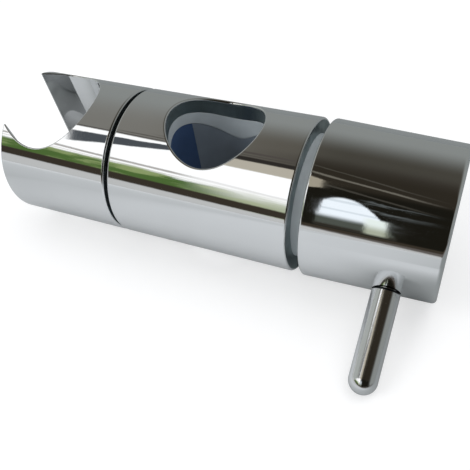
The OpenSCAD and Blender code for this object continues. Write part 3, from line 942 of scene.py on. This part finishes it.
    # The dark side of the room, in front of the knob, with its own small window
    edge = w.math("MULTIPLY_ADD", w.band(wavy, 15.0, 31.0, 8.0), 0.058, -0.205)
    dark = w.math("MULTIPLY", w.step(slope, edge, 0.012), w.step(angle, -6.0, 22.0))
    dark = w.math("MULTIPLY", dark, w.math("SUBTRACT", 1.0, w.step(slope, 1.6, 1.2)))
    deep = w.over((0.030, 0.025, 0.018), w.step(wavy, 23.0, 9.0), (0.011, 0.010, 0.007))
    beige = w.math("MULTIPLY", w.band(slope, -0.212, -0.125, 0.02), w.band(wavy, 13.0, 33.0, 3.0))
    picture = w.over(picture, beige, (0.40, 0.36, 0.28))
    picture = w.over(picture, dark, deep)
    fading = w.math("MULTIPLY", dark, w.math("SUBTRACT", 1.0, w.step(slope, 0.02, 0.10)))
    for value, lean, width, tone in ((10.0, 55.0, 2.2, 0.17), (1.0, 70.0, 1.2, 0.08), (22.0, 60.0, 1.8, 0.060)):
        low = w.line(slope, -0.15, value, lean)
        mask = w.math("MULTIPLY", w.band(wavy, low, w.math("ADD", low, width), 1.4), fading)
        picture = w.over(picture, mask, (tone, tone * 0.93, tone * 0.76))
    ripple = w.math("SINE", w.math("MULTIPLY", w.math("MULTIPLY_ADD", w.math("SUBTRACT", leaf, 0.5), 22.0, wavy), 0.55))
    ripples = w.math("MULTIPLY", w.step(ripple, 0.45, 0.9), w.band(angle, 32.0, 76.0, 6.0))
    ripples = w.math("MULTIPLY", w.math("MULTIPLY", ripples, w.step(slope, -0.075, 0.03)), fading)
    picture = w.over(picture, w.math("MULTIPLY", ripples, w.step(leaf, 0.52, 0.16)), (0.10, 0.11, 0.11))
    across = w.math("ADD", slope, 0.104)
    pane_top = w.math("MULTIPLY_ADD", w.math("MULTIPLY", across, across), 5200.0, 37.0)
    inside = w.step(slope, w.line(angle, 40.0, -0.140, -0.0003), 0.006)
    mask = w.math("MULTIPLY", inside, w.band(angle, pane_top, 79.0, 3.0))
    streak = w.math("MULTIPLY", w.step(w.math("SINE", w.math("MULTIPLY", wavy, 0.50)), 0.75, 0.5), 0.35)
    glass = w.over((1.0, 1.07, 1.13), streak, (0.42, 0.50, 0.56))
    picture = w.over(picture, mask, w.over(glass, w.step(wavy, 64.0, 8.0), (0.085, 0.095, 0.080)))
    picture = w.over(picture, w.math("MULTIPLY", mask, w.step(angle, 76.0, 5.0)), (0.025, 0.018, 0.013))
    bar = w.math("MULTIPLY", w.band(slope, -0.066, -0.030, 0.014), w.band(angle, 57.0, 78.0, 4.0))
    picture = w.over(picture, bar, w.over((0.92, 1.00, 0.95), w.step(angle, 68.0, 12.0), (0.46, 0.49, 0.38)))
    mask = w.math("MULTIPLY", w.step(slope, -0.205, 0.012), w.step(angle, 80.5, 1.5))
    picture = w.over(picture, mask, (0.045, 0.036, 0.026))
    mask = w.math("MULTIPLY", w.step(slope, -0.205, 0.012), w.step(angle, 84.5, 2.0))
    picture = w.over(picture, mask, (0.13, 0.115, 0.105))

    # The table's far edge
    picture = w.over(picture, w.step(angle, w.line(slope, -0.6, 80.3, 12.5), 2.5), (0.57, 0.575, 0.57))

    glow = add(tree, "ShaderNodeEmission")
    tree.links.new(picture, glow.inputs[0])
    out = add(tree, "ShaderNodeOutputMaterial")
    tree.links.new(glow.outputs[0], out.inputs[0])
    return material


DOME_RADIUS = 3.0


def card_mesh():
    """A dome about the origin that stands on the floor: angle from the pole and angle round it."""
    round_it, down = np.meshgrid(np.linspace(0, 2 * math.pi, 97), np.radians(np.linspace(0, 90.6, 49)))
    outward = vectors(np.sin(down) * np.cos(round_it), np.sin(down) * np.sin(round_it), np.cos(down))
    skin = Skin()
    skin.patch(outward * DOME_RADIUS, -outward)
    return skin.mesh("studio_card")


def floor_mesh(height):
    """A level disc: radius and angle."""
    radius, angle = np.meshgrid(np.r_[0, np.geomspace(0.05, 3.2, 12)], np.linspace(0, 2 * math.pi, 97))
    skin = Skin()
    skin.patch(vectors(radius * np.cos(angle), radius * np.sin(angle), height), np.array([0.0, 0.0, 1.0]))
    return skin.mesh("studio_floor")


def floor_material():
    """A pale table that keeps the shadow. To the camera it's white all over. In the chrome it has painted light and
    shade:
    a painted pool of window light in a cone and another just in front of the holder, a painted shadow of the knob
    and the lever to their right, painted shade towards the left end and mid grey elsewhere. Far away it glows: white
    to the camera and painted light in the chrome."""
    material, tree, shader = new_material("studio_floor")
    w = Wiring(tree)
    place = add(tree, "ShaderNodeTexCoord").outputs["Object"]
    parts = add(tree, "ShaderNodeSeparateXYZ")
    tree.links.new(place, parts.inputs[0])
    x, y, z = parts.outputs
    # Painted light on the floor as the chrome sees it: a painted pool of window light in a cone from the knob's end
    front = w.math("MULTIPLY", y, -1.0)
    side = w.math("SUBTRACT", x, 0.05)
    along = w.math("MULTIPLY_ADD", front, 0.82, w.math("MULTIPLY", side, -0.57))
    away = w.math("SQRT", w.math("MULTIPLY_ADD", side, side, w.math("MULTIPLY_ADD", y, y, 0.0004)))
    painted_lighting = w.step(w.math("DIVIDE", along, away), 0.70, 0.60)
    # A painted pool of light just in front of the holder
    painted_front_light = w.math("MULTIPLY", w.band(front, 0.0, 0.10, 0.04), w.band(x, -0.10, 0.075, 0.05))
    painted_lighting = w.math("MAXIMUM", painted_lighting, painted_front_light)
    # A painted shadow of the knob and the lever, at the knob and to its right, close in front
    painted_knob_shadow = w.math("MULTIPLY", w.step(x, 0.038, 0.03), w.math("SUBTRACT", 1.0, w.step(front, 0.05, 0.04)))
    painted_lighting = w.math("MULTIPLY", painted_lighting, w.math("MULTIPLY_ADD", painted_knob_shadow, -0.8, 1.0))
    # Painted shade on the floor towards the left, beyond the cradle's end
    painted_lighting = w.math("MULTIPLY", painted_lighting, w.math("MULTIPLY_ADD", w.step(x, -0.055, 0.05), 0.25, 0.75))
    # Mid grey where no painted light falls and pale where it does; only the camera sees the plain white
    mirrored = w.over((0.275, 0.29, 0.285), painted_lighting, (0.665, 0.68, 0.685))
    plain = tinted(tree, varied(tree, place, 8, 0, 1), grey(0.53), grey(0.56))
    path = add(tree, "ShaderNodeLightPath")
    seen = path.outputs["Is Camera Ray"]
    colour = w.over(mirrored, seen, plain)
    tree.links.new(colour, shader.inputs["Base Color"])
    shader.inputs["Roughness"].default_value = 0.9
    shader.inputs["Specular IOR Level"].default_value = 0.0
    tree.links.new(w.over(colour, seen, grey(1.0)), shader.inputs["Emission Color"])
    # Far away the floor glows: white to the camera, and painted light in the chrome
    far = w.math("MULTIPLY", w.step(away, 1.4, 2.4), w.math("MULTIPLY_ADD", seen, 0.30, 0.45))
    glow = w.math("MULTIPLY_ADD", seen, 0.53, far)
    tree.links.new(glow, shader.inputs["Emission Strength"])
    return material


def world_background(scene):
    """White behind the object for the camera, for gloss and for glass, and soft light elsewhere."""
    world = bpy.data.worlds.new("studio_world")
    scene.world = world
    world.use_nodes = True
    tree = world.node_tree
    tree.nodes.clear()
    path = add(tree, "ShaderNodeLightPath")
    first = add(tree, "ShaderNodeMath", operation="MAXIMUM")
    seen = add(tree, "ShaderNodeMath", operation="MAXIMUM")
    tree.links.new(path.outputs["Is Camera Ray"], first.inputs[0])
    tree.links.new(path.outputs["Is Glossy Ray"], first.inputs[1])
    tree.links.new(first.outputs[0], seen.inputs[0])
    tree.links.new(path.outputs["Is Transmission Ray"], seen.inputs[1])
    soft = add(tree, "ShaderNodeBackground", in_0=(0.95, 0.97, 1.0, 1), in_1=0.62)
    white = add(tree, "ShaderNodeBackground", in_0=(1, 1, 1, 1), in_1=1.0)
    mix = add(tree, "ShaderNodeMixShader")
    out = add(tree, "ShaderNodeOutputWorld")
    tree.links.new(seen.outputs[0], mix.inputs[0])
    tree.links.new(soft.outputs[0], mix.inputs[1])
    tree.links.new(white.outputs[0], mix.inputs[2])
    tree.links.new(mix.outputs[0], out.inputs[0])


def soft_lamp(name, place, target, size, power):
    """A large soft lamp that lights the dull parts and the floor, and isn't mirrored itself."""
    data = bpy.data.lights.new(name, "AREA")
    data.shape = "DISK"
    data.size = size
    data.energy = power
    lamp = bpy.data.objects.new(name, data)
    lamp.location = place
    lamp.rotation_euler = (Vector(target) - Vector(place)).to_track_quat("-Z", "Y").to_euler()
    lamp.visible_glossy = False
    bpy.context.scene.collection.objects.link(lamp)


class HOLDER_OT_stage(bpy.types.Operator):
    """Sets up the camera, the floor, the card, the lamps and the world"""

    bl_idname = "holder.stage"
    bl_label = "Stage"

    def execute(self, context):
        scene = context.scene
        scene.view_settings.view_transform = "Standard"
        floor = bpy.data.objects.new("studio_floor", floor_mesh(-0.01822))
        floor.data.materials.append(floor_material())
        card = bpy.data.objects.new("studio_card", card_mesh())
        card.data.materials.append(card_material())
        card.visible_camera = False
        card.visible_diffuse = False
        card.visible_shadow = False
        for piece in (floor, card):
            scene.collection.objects.link(piece)
        soft_lamp("window_lamp", (-0.9, -0.9, 1.1), (0, 0, 0), 0.9, 8)
        soft_lamp("top_lamp", (0.4, 0.2, 1.4), (0, 0, 0), 1.2, 5.5)
        world_background(scene)
        data = bpy.data.cameras.new("photo_camera")
        data.sensor_width = 36
        data.lens = 621.502 * 36 / 470
        data.clip_start = 0.01
        camera = bpy.data.objects.new("photo_camera", data)
        right = Vector((0.9202, 0.3754, -0.1104))
        up = Vector((-0.2221, 0.7335, 0.6423))
        back = right.cross(up).normalized()
        up = back.cross(right).normalized()
        turn = Matrix((right.normalized(), up, back)).transposed().to_4x4()
        camera.matrix_world = Matrix.Translation((0.054037, -0.094774, 0.105041)) @ turn
        scene.collection.objects.link(camera)
        scene.camera = camera
        return {"FINISHED"}


class HOLDER_PT_panel(bpy.types.Panel):
    """Lists the pieces and their sizes in the 3D view's sidebar"""

    bl_label = "Shower holder"
    bl_idname = "HOLDER_PT_panel"
    bl_space_type = "VIEW_3D"
    bl_region_type = "UI"
    bl_category = "Holder"

    def draw(self, context):
        layout = self.layout
        for step in STEPS:
            layout.operator(step.bl_idname)
        for group in (context.scene.holder_sizes, context.scene.holder_colours):
            box = layout.box()
            for name in group.__annotations__:
                box.prop(group, name)


STEPS = (HOLDER_OT_sleeve, HOLDER_OT_cradle, HOLDER_OT_knob, HOLDER_OT_lever,
         HOLDER_OT_plastics, HOLDER_OT_metals, HOLDER_OT_stage)
CLASSES = (HolderSizes, HolderColours, *STEPS, HOLDER_PT_panel)


def register():
    for item in CLASSES:
        bpy.utils.register_class(item)
    bpy.types.Scene.holder_sizes = PointerProperty(type=HolderSizes)
    bpy.types.Scene.holder_colours = PointerProperty(type=HolderColours)


def unregister():
    del bpy.types.Scene.holder_colours
    del bpy.types.Scene.holder_sizes
    for item in reversed(CLASSES):
        bpy.utils.unregister_class(item)


def main():
    """Makes every piece and the stage."""
    register()
    bpy.ops.holder.sleeve()
    bpy.ops.holder.cradle()
    bpy.ops.holder.knob()
    bpy.ops.holder.lever()
    bpy.ops.holder.plastics()
    bpy.ops.holder.metals()
    bpy.ops.holder.stage()
    bpy.context.view_layer.update()


if __name__ == "__main__":
    main()
